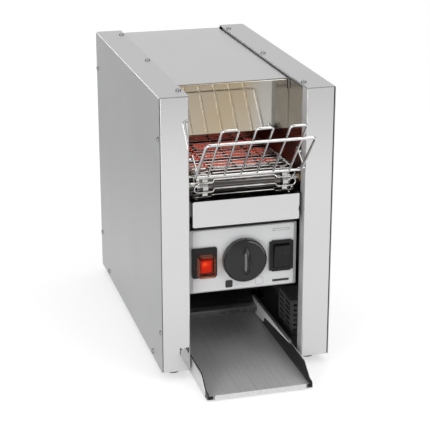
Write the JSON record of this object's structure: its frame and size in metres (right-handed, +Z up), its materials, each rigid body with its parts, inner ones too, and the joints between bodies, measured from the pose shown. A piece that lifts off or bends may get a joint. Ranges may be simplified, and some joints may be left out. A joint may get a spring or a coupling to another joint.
{
  "type": "conveyor toaster",
  "caption": "Counter-top conveyor toaster in stainless sheet: wire belt with a leaning feed rack, quartz elements, return chute, pull-out toast tray, knob and rocker switches.",
  "frame": {"origin": "middle of the whole toaster's outline, tray, rack and cord inlet included, on the plane of the counter under the feet", "axes": "+X to the operator's right, +Y from the operator towards the back, +Z up"},
  "size_m": [0.2444, 0.524, 0.4012],
  "materials": {
    "cover_steel": "fine brushed stainless sheet",
    "polished_steel": "bright polished stainless sheet",
    "mirror_steel": "mirror polished stainless sheet",
    "plain_steel": "plain sheet steel",
    "screw_steel": "plain pan heads",
    "panel_grey": "satin silver overlay with plain black lines",
    "black_plastic": "satin black",
    "red_lens": "clear red, lit from inside",
    "clear_boot": "clear soft cover",
    "wire_chrome": "bright wire",
    "belt_steel": "bright wire, a little tarnished",
    "shaft_steel": "ground bar",
    "sprocket_steel": "plain machined steel",
    "bush_bronze": "oiled bronze",
    "chain_steel": "dark oiled steel",
    "cast_aluminium": "as cast",
    "motor_iron": "varnished core",
    "quartz_hot": "frosted quartz, glowing",
    "ceramic_white": "unglazed ceramic",
    "black_paint": "black",
    "foot_rubber": "black",
    "chute_steel": "plain stainless sheet",
    "tray_steel": "plain stainless sheet",
    "disc_metal": "plain",
    "terminal_plastic": "cream moulding"
  },
  "bodies": {
    "case": {"left_side_cover": "cover_steel", "right_side_cover": "cover_steel", "left_front_post": "polished_steel", "right_front_post": "polished_steel", "left_inner_wall": "polished_steel", "right_inner_wall": "polished_steel", "top_panel": "cover_steel", "feed_plate": "mirror_steel", "rear_panel": "cover_steel", "base_plate": "plain_steel", "rubber_feet": "foot_rubber", "cover_screws": "screw_steel", "front_guard": "cover_steel", "control_box": "plain_steel", "control_rear_cover": "plain_steel", "control_overlay": "panel_grey", "power_switch_body": "black_plastic", "power_switch_boot": "clear_boot", "mode_switch_body": "black_plastic", "speed_regulator": "black_plastic", "dial_nut": "shaft_steel", "rack_studs": "shaft_steel", "conveyor_belt": "belt_steel", "belt_support": "wire_chrome", "shaft_bushes": "bush_bronze", "drive_chain": "chain_steel", "gearbox": "cast_aluminium", "drive_motor": "motor_iron", "motor_screws": "screw_steel", "upper_elements": "quartz_hot", "lower_elements": "quartz_hot", "element_end_blocks": "ceramic_white", "upper_reflector": "mirror_steel", "lower_reflector": "mirror_steel", "return_chute": "chute_steel", "toast_guide": "tray_steel", "tray_runners": "plain_steel", "fan_guard_box": "black_paint", "fan_housing": "black_plastic", "terminal_block": "terminal_plastic", "thermal_cutout": "disc_metal", "cord_gland": "black_plastic", "gland_nut": "black_plastic"},
    "front_roller_assembly": {"front_shaft": "shaft_steel", "front_roller": "polished_steel", "front_sprockets": "sprocket_steel", "shaft_chain_sprocket": "sprocket_steel"},
    "rear_roller_assembly": {"rear_shaft": "shaft_steel", "rear_roller": "polished_steel", "rear_sprockets": "sprocket_steel"},
    "motor_output": {"motor_shaft": "shaft_steel", "motor_chain_sprocket": "sprocket_steel"},
    "fan": {"fan_rotor": "black_plastic"},
    "power_button": {"power_rocker": "red_lens"},
    "mode_button": {"mode_rocker": "black_plastic"},
    "speed_dial": {"speed_knob": "black_plastic", "dial_shaft": "shaft_steel"},
    "tray": {"toast_tray": "tray_steel", "tray_side_guides": "black_paint"},
    "rack": {"feed_rack": "wire_chrome"}
  },
  "joints": [
    {"name": "front_shaft_spin", "type": "hinge", "parent": "case", "child": "front_roller_assembly", "pos_m": [0, -0.1564, 0.269], "axis": [-1, 0, 0], "continuous": true, "deforming": ["conveyor_belt", "drive_chain"]},
    {"name": "rear_shaft_spin", "type": "hinge", "parent": "case", "child": "rear_roller_assembly", "pos_m": [0, 0.1357, 0.269], "axis": [-1, 0, 0], "continuous": true},
    {"name": "motor_output_spin", "type": "hinge", "parent": "case", "child": "motor_output", "pos_m": [0.0783, -0.08293, 0.18144], "axis": [-1, 0, 0], "continuous": true},
    {"name": "fan_spin", "type": "hinge", "parent": "case", "child": "fan", "pos_m": [0.107, -0.087, 0.0382], "axis": [1, 0, 0], "continuous": true},
    {"name": "power_rocker_tilt", "type": "hinge", "parent": "case", "child": "power_button", "pos_m": [-0.0537, -0.1666, 0.157], "axis": [1, 0, 0], "range_deg": [-14, 0]},
    {"name": "mode_rocker_tilt", "type": "hinge", "parent": "case", "child": "mode_button", "pos_m": [0.0535, -0.1666, 0.161], "axis": [1, 0, 0], "range_deg": [-14, 0]},
    {"name": "speed_dial_turn", "type": "hinge", "parent": "case", "child": "speed_dial", "pos_m": [0, -0.167, 0.161], "axis": [0, 1, 0], "range_deg": [-135, 135]},
    {"name": "toast_tray_slide", "type": "slide", "parent": "case", "child": "tray", "axis": [0, -1, 0], "range_m": [0, 0.15]},
    {"name": "feed_rack_lift", "type": "slide", "parent": "case", "child": "rack", "axis": [0, 0, 1], "range_m": [0, 0.03]}
  ],
  "couplings": [
    {"joint": "rear_shaft_spin", "follows": "front_shaft_spin", "ratio": 1},
    {"joint": "motor_output_spin", "follows": "front_shaft_spin", "ratio": 1}
  ]
}
